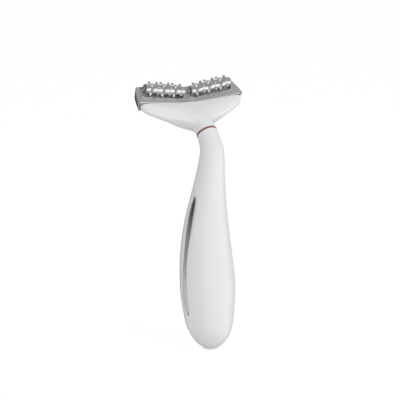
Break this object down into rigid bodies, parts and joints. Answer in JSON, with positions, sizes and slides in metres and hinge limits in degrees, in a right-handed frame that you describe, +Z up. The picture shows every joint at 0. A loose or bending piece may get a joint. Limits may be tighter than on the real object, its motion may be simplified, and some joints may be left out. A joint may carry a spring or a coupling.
{
  "type": "facial_massager",
  "caption": "Hand-held LED facial massager: white egg-shaped handle with chrome side strips, rose neck ring and a T-shaped head with two studded chrome rollers.",
  "frame": {"origin": "Centre of the flat end face of the plug in the base, the face the massager is stored upright on", "axes": "+Z up the handle, +Y to the back (button side), X across along the head's long axis; the rollers face -Y and up"},
  "size_m": [0.0798, 0.0541, 0.1781],
  "materials": {
    "shell": "smooth white moulded plastic",
    "button": "smooth white moulded plastic",
    "chrome": "polished chrome plating",
    "rose_metal": "satin rose-gold plating",
    "steel": "plain steel",
    "bearing_plastic": "dark low-friction plastic",
    "inner_plastic": "grey moulded plastic",
    "milky_lens": "milky light-spreading plastic",
    "circuit_board": "green circuit board",
    "cell_wrap": "blue shrink wrap over a steel can",
    "silicone": "translucent soft silicone",
    "red_wire": "red wire insulation",
    "wire": "light grey wire insulation"
  },
  "bodies": {
    "body": {"axle_left": "steel", "axle_right": "steel", "battery_cell": "cell_wrap", "battery_cradle": "inner_plastic", "battery_wire_black": "wire", "battery_wire_red": "red_wire", "board_screw_lower": "steel", "board_screw_upper": "steel", "charge_board": "circuit_board", "charge_cable": "wire", "charging_socket": "steel", "electrode_strip_left": "chrome", "electrode_strip_right": "chrome", "handle_back_shell": "shell", "handle_front_shell": "shell", "head_cable": "wire", "head_housing": "shell", "led_board_left": "circuit_board", "led_board_right": "circuit_board", "led_lens_left": "milky_lens", "led_lens_right": "milky_lens", "main_board": "circuit_board", "neck_tube": "inner_plastic", "roller_frame": "chrome", "status_light_pipe": "milky_lens", "strip_contact_left": "steel", "strip_contact_right": "steel", "tact_switch": "inner_plastic", "trim_ring": "rose_metal"},
    "roller_left": {"roller_left": "chrome", "bush_left_inner": "bearing_plastic", "bush_left_outer": "bearing_plastic"},
    "roller_right": {"roller_right": "chrome", "bush_right_inner": "bearing_plastic", "bush_right_outer": "bearing_plastic"},
    "button": {"power_button": "button", "switch_plunger": "inner_plastic"},
    "plug": {"port_plug": "silicone"}
  },
  "joints": [
    {"name": "roller_left_spin", "type": "hinge", "parent": "body", "child": "roller_left", "pos_m": [-0.01785, 0.02749, 0.17185], "axis": [-0.9901, -0.0401, 0.1348], "continuous": true},
    {"name": "roller_right_spin", "type": "hinge", "parent": "body", "child": "roller_right", "pos_m": [0.01785, 0.02749, 0.17185], "axis": [0.9901, -0.0401, 0.1348], "continuous": true},
    {"name": "button_press", "type": "slide", "parent": "body", "child": "button", "axis": [0, -1, 0], "range_m": [0, 0.0006], "stiffness_N_per_m": 500},
    {"name": "plug_pull", "type": "slide", "parent": "body", "child": "plug", "axis": [0, 0, -1], "range_m": [0, 0.005]}
  ]
}
